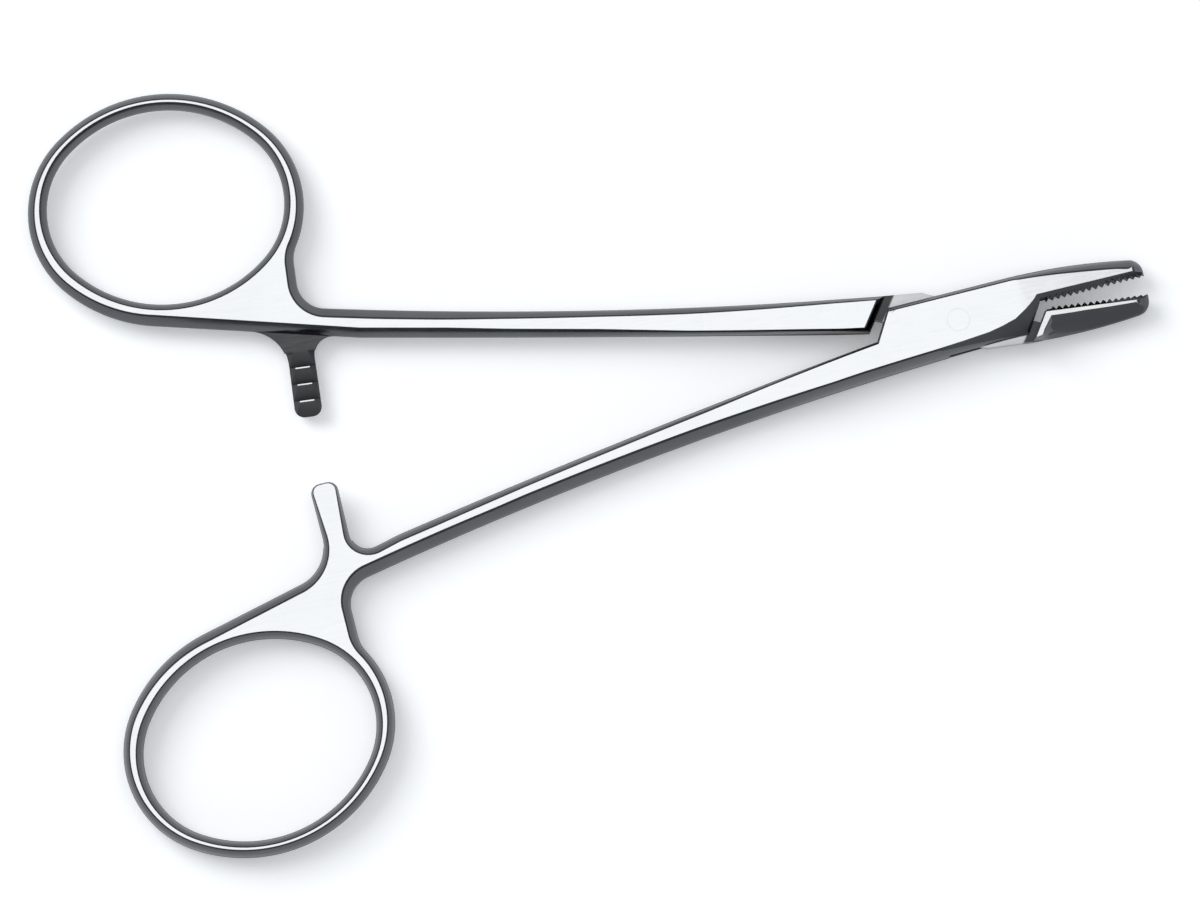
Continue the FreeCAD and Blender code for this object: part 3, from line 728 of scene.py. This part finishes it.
print("tools ready")


# %% [markdown]
# The box half: ring, shank, box and the upper jaw in one outline. Its cheek ends in a
# hollow-ground facet. The section's tables read x, so the cheek's slanted end hands over its
# height as x for a moment.

# %% Box half
half = HALVES["box_half"]
front = slanted(CHEEK_FRONT, -BOX_HALF_WIDTH)[0]
crease, fall = lock_section(front)
out, arm, bare, back = handle_ways(
    half, (front, BOX_HALF_WIDTH), (-CHEEK_BACK, 0), (BOX_OUTER, crease, fall), (BOX_INNER,))
lock_corner = (-CHEEK_BACK + BOX_HALF_WIDTH / math.tan(LOCK_SLANT), -BOX_HALF_WIDTH)
foot = (CHEEK_FRONT + ROOT_RELIEF / math.tan(LOCK_SLANT), TOOTH_BITE)
JAW_INSET = ([7.3, 11.8, 14.0, 16.4, 18.5, 20.0, 21.4],
             [0.72, 0.95, 1.05, 1.1, 1.1, 1.18, 1.24])
CHEEK_INSET = ([TOOTH_BITE, 0.6, BOX_HALF_WIDTH], [0.65, 0.75, 2.0])
CHEEK_BACK_INSET, BOX_SIDE_INSET = 0.22, 0.64
jaw = jaw_way((front, -BOX_HALF_WIDTH), foot[0], 0, UPPER_GRIP_INSET, JAW_INSET)
cheek_end = straight(foot, (front, BOX_HALF_WIDTH), 0.3)
cheek_end = spread(cheek_end[:, ::-1], CHEEK_INSET, 0.0,
                   ([TOOTH_BITE, BOX_HALF_WIDTH], [GRIP_BEVEL, CHEEK_FALL]))
cheek_end[:, :2] = cheek_end[:, 1::-1]
back += [
    spread(straight((-CHEEK_BACK, 0), lock_corner), CHEEK_BACK_INSET),
    spread(straight(lock_corner, (front, -BOX_HALF_WIDTH)), BOX_SIDE_INSET),
] + jaw + [cheek_end]
skin = skin_of(out, arm, bare, back, finger_hole(half))
box_half = bpy.data.objects.new("box_half_steel", skin.mesh("box_half_steel", half))
scene.collection.objects.link(box_half)

# %% [markdown]
# The tongue swings in the slot from closed to wide open, so each of the slot's long sides
# is two walls that meet in a V: one follows the closed tongue and one the open tongue. The
# slot looks the same after half a turn, so one side is drawn and turned for the other.

# %% Slot, hole and clicks of the box half
RIVET_SIDES, PAST_BOX = 64, 2 * BOX_HALF_THICK
reach = TONGUE_HALF_WIDTH + SLOT_GAP
middle = (CLOSED_WALL + OPEN_WALL) / 2
nose = reach / math.cos((CLOSED_WALL - OPEN_WALL) / 2)
outside, far = BOX_HALF_WIDTH * 2, CHEEK_BACK * 1.5
upper = [(nose * math.cos(middle), nose * math.sin(middle)),
         wall_at_height(reach, outside, OPEN_WALL), (-far, outside)]
slot = upper + [wall_at_reach(-reach, -far)]
slot += [(-x, -y) for x, y in upper] + [wall_at_reach(reach, far)]
slot = [(x, -y) for x, y in slot]
circle = np.linspace(0, 2 * math.pi, RIVET_SIDES, endpoint=False)
hole_plan = RIVET_HOLE * np.stack([np.cos(circle), np.sin(circle)], axis=1)


def lock_cuts(skin):
    prism(skin, slot, -SLOT_HALF_THICK, SLOT_HALF_THICK)


def rivet_cut(skin):
    prism(skin, hole_plan, -PAST_BOX, PAST_BOX)


def cut_half(thing, half):
    """Drill for the rivet, cut the ratchet's teeth, bevel the arm and brighten the crests."""
    for name, fill in (
        ("rivet_tool", rivet_cut), ("click_tool", clicks(half)), ("bevel_tool", arm_bevels(half)),
    ):
        combine(thing, cutter(name, half, fill), "DIFFERENCE")
    brighten_crests(thing, half)


combine(box_half, cutter("slot_tool", half, lock_cuts), "DIFFERENCE")
cut_half(box_half, half)

# %% [markdown]
# The tongue half: a handle and a jaw, each ending in a slanted shoulder, with the thin
# tongue between them that passes through the slot. The handle comes first. Its outline is
# cut off at the shoulder's line.

# %% Tongue half
SHOULDER_INSET, SHOULDER_LINE = 0.8, (-1.0, 8.0)
half = HALVES["tongue_half"]
out, arm, bare, back = handle_ways(
    half, wall_at_height(TONGUE_HALF_WIDTH, TONGUE_OUT), (-SHOULDER_BACK, 0),
    (TONGUE_OUTER,), (TONGUE_INNER,))
shoulder = np.array([slanted(-SHOULDER_BACK, height) for height in SHOULDER_LINE])
i, share = crossing(out[0][:, :2], shoulder)[:2]
out[0] = part_of(out[0], i, share, True)
back.append(spread(straight((-SHOULDER_BACK, 0), out[0][0, :2], 0.4), SHOULDER_INSET))
skin = skin_of(out, arm, bare, back, finger_hole(half))
tongue_half = bpy.data.objects.new("tongue_half_steel", skin.mesh("tongue_half_steel", half))
scene.collection.objects.link(tongue_half)

# %% [markdown]
# The tongue is a flat block, a little thinner than the slot. At both ends it reaches some
# millimetres into the handle and the jaw, so that all three join as one solid. The jaw is
# ground to a broad facet that leaves only a narrow flat along the teeth.

# %% Tongue and lower jaw
IN_HANDLE = [(-14.0, 4.2), (-14.0, 1.6), (-SHOULDER_BACK, 0.02)]
IN_JAW = [(12.0, -2.4), (12.0, -1.0)]
tongue_plan = np.array([
    wall_at_height(TONGUE_HALF_WIDTH, TONGUE_OUT), *IN_HANDLE,
    wall_at_slant(-TONGUE_HALF_WIDTH, -SHOULDER_BACK),
    wall_at_height(-TONGUE_HALF_WIDTH, -BOX_HALF_WIDTH),
    slanted(SHOULDER_FRONT, -BOX_HALF_WIDTH), *IN_JAW,
    slanted(SHOULDER_FRONT, -ROOT_RELIEF), wall_at_slant(TONGUE_HALF_WIDTH, SHOULDER_FRONT),
])
LOWER_JAW = ([7.9, 8.9, 10.4, 14.5, 18, 20, 21.4], [0.3, 0.45, 2.42, 2.18, 1.76, 1.48, 1.38])
LOWER_CREASE = ([8.7, 10.4, 14.5, 20, 21.4], [1.0, 0.42, 0.5, 0.7, 0.9])
LOWER_FALL = ([8.7, 10.4, 14.5, 20, 21.4], [0.0, 1.0, 0.8, 0.35, 0.05])
JAW_ROOT_INSET = 0.15
start = slanted(SHOULDER_FRONT, -BOX_HALF_WIDTH)
foot = (slanted(SHOULDER_FRONT, -ROOT_RELIEF)[0], TOOTH_BITE)
jaw = jaw_way(start, foot[0], 0.5, LOWER_GRIP_INSET, LOWER_JAW, LOWER_CREASE, LOWER_FALL)
outline = chain(jaw + [spread(straight(foot, start, 0.3), JAW_ROOT_INSET)])
jaw_skin = Skin()
for way in (1, -1):
    rows = edge_rows(outline, 0.0)
    rows[..., 2] *= way
    jaw_skin.add(*skirt(rows), POLISHED)
    jaw_skin.add(*flat_fill([rows[0]]), GROUND)
jaw_piece = bpy.data.objects.new("lower_jaw", jaw_skin.mesh("lower_jaw", half))
scene.collection.objects.link(jaw_piece)


def tongue_block(skin):
    prism(skin, tongue_plan, -TONGUE_HALF_THICK, TONGUE_HALF_THICK, TONGUE)


combine(tongue_half, cutter("tongue_tool", half, tongue_block), "UNION")
combine(tongue_half, jaw_piece, "UNION")
cut_half(tongue_half, half)

# %% [markdown]
# Steel has no colour of its own to speak of: on the ground flats what shows is what it
# mirrors, a satin that spreads the lamp evenly. The polished edges and the cut faces get a
# base colour far darker than the flats' steel, which is painted shade, and the cut faces are
# duller. One group of fine scratches serves all.

# %% The group of fine scratches


def node(tree, kind, place=(0, 0), **settings):
    """Add a node, and set its values by name."""
    item = tree.nodes.new(kind)
    item.location = place
    for key, setting in settings.items():
        if key in item.inputs:
            item.inputs[key].default_value = setting
        else:
            setattr(item, key, setting)
    return item


def link_all(tree, links):
    """Join each output to its input."""
    for source, target in links:
        tree.links.new(source, target)


def scratch_group():
    """Fine scratches along one way and soft patches of handling, as masks from 0 to 1."""
    group = bpy.data.node_groups.new("fine_scratches", "ShaderNodeTree")
    for name, way, kind, setting in (
        ("Fineness", "INPUT", "NodeSocketFloat", 4000),
        ("Stretch", "INPUT", "NodeSocketVector", (0.06, 1, 1)),
        ("Scratches", "OUTPUT", "NodeSocketFloat", None),
        ("Patches", "OUTPUT", "NodeSocketFloat", None),
    ):
        socket = group.interface.new_socket(name, in_out=way, socket_type=kind)
        if setting:
            socket.default_value = setting
    inputs = node(group, "NodeGroupInput", (-900, 0))
    outputs = node(group, "NodeGroupOutput", (300, 0))
    where = node(group, "ShaderNodeTexCoord", (-900, -200))
    stretch = node(group, "ShaderNodeVectorMath", (-650, -100), operation="MULTIPLY")
    lines = node(group, "ShaderNodeTexNoise", (-400, 0), Detail=3.0, Roughness=0.6)
    patches = node(group, "ShaderNodeTexNoise", (-400, -300),
                   Scale=160.0, Detail=4.0, Roughness=0.55)
    link_all(group, [
        (where.outputs["Object"], stretch.inputs[0]),
        (inputs.outputs["Stretch"], stretch.inputs[1]),
        (stretch.outputs[0], lines.inputs["Vector"]),
        (inputs.outputs["Fineness"], lines.inputs["Scale"]),
        (where.outputs["Object"], patches.inputs["Vector"]),
        (lines.outputs["Fac"], outputs.inputs["Scratches"]),
        (patches.outputs["Fac"], outputs.inputs["Patches"]),
    ])
    return group


SCRATCHES = scratch_group()
print("group:", SCRATCHES.name)

# %% [markdown]
# Each finish is one metal shader: the patches change its tone, the scratches its gloss and
# a very fine bump. Where a surface turns away from the eye, a finish may pass by Layer
# Weight into a dark rim that is no longer metal: painted shade along the outline.

# %% The four finishes
MASK_LOW, MASK_HIGH = 0.3, 0.7
RIM_SHADE_START, RIM_SHADE_END = 0.7, 0.93
BUMP_HEIGHT = 0.00002


def ramp(tree, place, low, high, to_low=0.0, to_high=1.0):
    """A map from one span of values to another."""
    return node(tree, "ShaderNodeMapRange", place,
                **{"From Min": low, "From Max": high, "To Min": to_low, "To Max": to_high})


def blend(tree, place, first=None, second=None):
    """A mix of two colours."""
    item = node(tree, "ShaderNodeMix", place, data_type="RGBA")
    for key, colour in (("A", first), ("B", second)):
        if colour:
            item.inputs[key].default_value = (*colour, 1)
    return item


def steel(name, colour, rough, spread_of_rough, bump, tint, rim_shade=None):
    """A metal whose roughness and tone follow the scratches and patches. Where it is seen at a
    glancing angle it passes, if a rim shade is given, into a soft dark tone of that colour that
    is no longer metal: painted shade along the outline."""
    material = bpy.data.materials.new(name)
    material.use_nodes = True
    tree = material.node_tree
    shader = tree.nodes["Principled BSDF"]
    shader.inputs["Metallic"].default_value = 1.0
    shader.inputs["Specular IOR Level"].default_value = 0.0
    marks = node(tree, "ShaderNodeGroup", (-1200, 0), node_tree=SCRATCHES)
    tone = ramp(tree, (-900, 200), MASK_LOW, MASK_HIGH)
    mix = blend(tree, (-650, 200), colour, [channel * tint for channel in colour])
    gloss = ramp(tree, (-900, -100), MASK_LOW, MASK_HIGH, rough, rough + spread_of_rough)
    height = node(tree, "ShaderNodeBump", (-350, -300), Strength=bump, Distance=BUMP_HEIGHT)
    links = [
        (marks.outputs["Patches"], tone.inputs["Value"]),
        (tone.outputs["Result"], mix.inputs["Factor"]),
        (marks.outputs["Scratches"], gloss.inputs["Value"]),
        (gloss.outputs["Result"], shader.inputs["Roughness"]),
        (marks.outputs["Scratches"], height.inputs["Height"]),
        (height.outputs["Normal"], shader.inputs["Normal"]),
    ]
    # painted shade along the outline: at glancing angles the finish turns into a dark non-metal
    if rim_shade:
        angle = node(tree, "ShaderNodeLayerWeight", (-900, 500), Blend=0.5)
        glancing = ramp(tree, (-650, 500), RIM_SHADE_START, RIM_SHADE_END)
        metal = ramp(tree, (-400, 500), 0.0, 1.0, 1.0, 0.0)
        toned = blend(tree, (-350, 200), None, rim_shade)
        links += [
            (angle.outputs["Facing"], glancing.inputs["Value"]),
            (glancing.outputs["Result"], metal.inputs["Value"]),
            (metal.outputs["Result"], shader.inputs["Metallic"]),
            (glancing.outputs["Result"], toned.inputs["Factor"]),
            (mix.outputs["Result"], toned.inputs["A"]),
        ]
        mix = toned
    links.append((mix.outputs["Result"], shader.inputs["Base Color"]))
    link_all(tree, links)
    return material


FINISHES = [
    steel("ground_flats", (0.655, 0.67, 0.68), 0.2, 0.06, 0.02, 0.97),
    # polished edges and cut faces: base colour about a sixth of the flats' steel, painted shade
    steel("polished_edges_painted_shade", (0.105, 0.11, 0.117), 0.15, 0.06, 0.02, 0.85, (0.1, 0.103, 0.107)),
    steel("cut_faces_painted_shade", (0.1, 0.101, 0.103), 0.42, 0.12, 0.1, 0.8, (0.1, 0.102, 0.104)),
    steel("tongue_faces", (0.5, 0.505, 0.51), 0.26, 0.12, 0.08, 0.85),
]
print("finishes:", ", ".join(material.name for material in FINISHES))

# %% [markdown]
# The tongue lies deep in narrow gaps at both ends of the lock, where hardly any light gets
# in. There the tongue's colour is painted darker, as painted shade, along lines parallel to
# the slanted ends.

# %% The tongue's painted shade at its ends
DARK_FROM, DARK_FULL = CHEEK_BACK - 0.1, CHEEK_BACK + 0.15
GAP_SHADE_COLOUR = (0.05, 0.051, 0.053)
tree = FINISHES[TONGUE].node_tree
shader = tree.nodes["Principled BSDF"]
lit = shader.inputs["Base Color"].links[0].from_socket
where = node(tree, "ShaderNodeTexCoord", (-1200, 800))
slant_angle = LOCK_SLANT - REST_HALF_ANGLE
across = node(tree, "ShaderNodeVectorMath", (-950, 800), operation="DOT_PRODUCT")
across.inputs[1].default_value = (PER_METRE, -PER_METRE / math.tan(slant_angle), 0.0)
deep = node(tree, "ShaderNodeMath", (-750, 800), operation="ABSOLUTE")
ends = ramp(tree, (-550, 800), DARK_FROM, DARK_FULL)
# painted shade: the tongue's colour goes to near black within the gaps at the lock's ends
dark = blend(tree, (-150, 300), None, GAP_SHADE_COLOUR)
link_all(tree, [
    (where.outputs["Object"], across.inputs[0]), (across.outputs["Value"], deep.inputs[0]),
    (deep.outputs[0], ends.inputs["Value"]), (ends.outputs["Result"], dark.inputs["Factor"]),
    (lit, dark.inputs["A"]), (dark.outputs["Result"], shader.inputs["Base Color"]),
])
print("dark from", DARK_FROM, "to", DARK_FULL, "mm from the rivet")

# %% [markdown]
# Each steel half stands in for its CAD solid and moves with the same body. Its shading is
# smooth over the rounds and breaks where the steel has an edge. The rivet's solid is right
# as it is, and only gets the finish of the flats that it was ground flush with.

# %% Finish, ride and replace
SHARP_FROM = math.radians(24)
for piece, node_name, body in (
    (box_half, "box_half", "box_side"), (tongue_half, "tongue_half", "tongue_side"),
):
    mesh = piece.data
    for number, material in enumerate(FINISHES):
        mesh.materials[number] = material
    mesh.polygons.foreach_set("use_smooth", np.ones(len(mesh.polygons), bool))
    mesh.set_sharp_from_angle(angle=SHARP_FROM)
    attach(piece, body)
    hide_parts(node_name)
    print(piece.name, "rides on", body)
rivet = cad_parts["pivot_pin"]
rivet.data.materials.clear()
rivet.data.materials.append(FINISHES[GROUND])

# %% [markdown]
# The table is plain and pale, and reads as white to the lens and in the steel. A soft lamp
# overhead makes the flats white, and one from the upper left throws the shadow. The black
# lines beside every flat come from the painted shade of the polished edges and from the dark
# ceiling around the lamps, and the walls below it are light enough to show the steel from a
# low place too.

# %% The table
TABLE_SIZE, TABLE_LEVEL = 3.0, -0.00005
TABLE_SEEN, TABLE_LIT = (0.95, 0.965, 0.98), (0.62, 0.63, 0.64)
GLOW_COLOUR, TABLE_GLOW = (0.97, 0.985, 1.0), 0.2
bpy.ops.mesh.primitive_plane_add(size=TABLE_SIZE, location=(0, 0, TABLE_LEVEL))
table = bpy.context.object
table.name = "table"
paint = bpy.data.materials.new("pale_table")
paint.use_nodes = True
tree = paint.node_tree
matt = tree.nodes["Principled BSDF"]
matt.inputs["Roughness"].default_value = 0.8
matt.inputs["Specular IOR Level"].default_value = 0.1
rays = node(tree, "ShaderNodeLightPath", (-900, 0))
seen = node(tree, "ShaderNodeMath", (-700, 0), operation="MAXIMUM")
seen_any = node(tree, "ShaderNodeMath", (-550, 0), operation="MAXIMUM")
tint = blend(tree, (-350, 0), TABLE_LIT, TABLE_SEEN)
glow = node(tree, "ShaderNodeMath", (-350, -250), operation="MULTIPLY")
glow.inputs[1].default_value = TABLE_GLOW
matt.inputs["Emission Color"].default_value = (*GLOW_COLOUR, 1)
link_all(tree, [
    (rays.outputs["Is Camera Ray"], seen.inputs[0]),
    (rays.outputs["Is Glossy Ray"], seen.inputs[1]),
    (seen.outputs[0], seen_any.inputs[0]),
    (rays.outputs["Is Transmission Ray"], seen_any.inputs[1]),
    (seen_any.outputs[0], tint.inputs["Factor"]),
    (tint.outputs["Result"], matt.inputs["Base Color"]),
    (seen_any.outputs[0], glow.inputs[0]),
    (glow.outputs[0], matt.inputs["Emission Strength"]),
])
table.data.materials.append(paint)
print("table", TABLE_SIZE, "m wide")

# %% [markdown]
# Large panels give soft light. Their size and distance set how soft it is, and the power
# follows from the brightness that their faces should have.

# %% Lamps and room
OVERHEAD_SHIFT = 0.044
SOFTBOX_SIZE, SOFTBOX_HEIGHT, SOFTBOX_LIGHT = 0.45, 0.5, 1.28
KEY_SIZE, KEY_HEIGHT, KEY_LIGHT = 0.5, 0.6, 4.5
KEY_LEFT, KEY_BACK = 0.42, 0.38
WALL_LIGHT, CEILING_LIGHT = 0.6, 0.2
WALL_TOP, CEILING_FROM = math.radians(28), math.radians(52)


def lamp(name, size, place, radiance):
    """A square panel that faces the object with an even brightness. Its power is that
    brightness times pi times the panel's area."""
    light = bpy.data.lights.new(name, "AREA")
    light.shape = "SQUARE"
    light.size = size
    light.energy = radiance * math.pi * size**2
    panel = bpy.data.objects.new(name, light)
    panel.location = place
    way = mathutils.Vector(place) - mathutils.Vector((VIEW_CENTRE.x, VIEW_CENTRE.y, 0.0))
    panel.rotation_euler = way.to_track_quat("Z", "Y").to_euler()
    scene.collection.objects.link(panel)
    return panel


overhead = VIEW_CENTRE + UP_IN_PICTURE * OVERHEAD_SHIFT
softbox = lamp("softbox", SOFTBOX_SIZE, (overhead.x, overhead.y, SOFTBOX_HEIGHT), SOFTBOX_LIGHT)
softbox.rotation_euler = (0.0, 0.0, 0.0)
key_place = (overhead.x - KEY_LEFT, overhead.y + KEY_BACK, KEY_HEIGHT)
key = lamp("key", KEY_SIZE, key_place, KEY_LIGHT)
key.visible_glossy = False
room = bpy.data.worlds.new("room")
room.use_nodes = True
tree = room.node_tree
surround = tree.nodes["Background"]
surround.inputs["Color"].default_value = (0.93, 0.96, 1.0, 1)
direction = node(tree, "ShaderNodeTexCoord", (-900, 0))
parts = node(tree, "ShaderNodeSeparateXYZ", (-700, 0))
level = ramp(tree, (-450, 0), math.sin(WALL_TOP), math.sin(CEILING_FROM),
             WALL_LIGHT, CEILING_LIGHT)
link_all(tree, [
    (direction.outputs["Generated"], parts.inputs[0]), (parts.outputs["Z"], level.inputs["Value"]),
    (level.outputs["Result"], surround.inputs["Strength"]),
])
scene.world = room
print("lamps:", softbox.name, key.name)
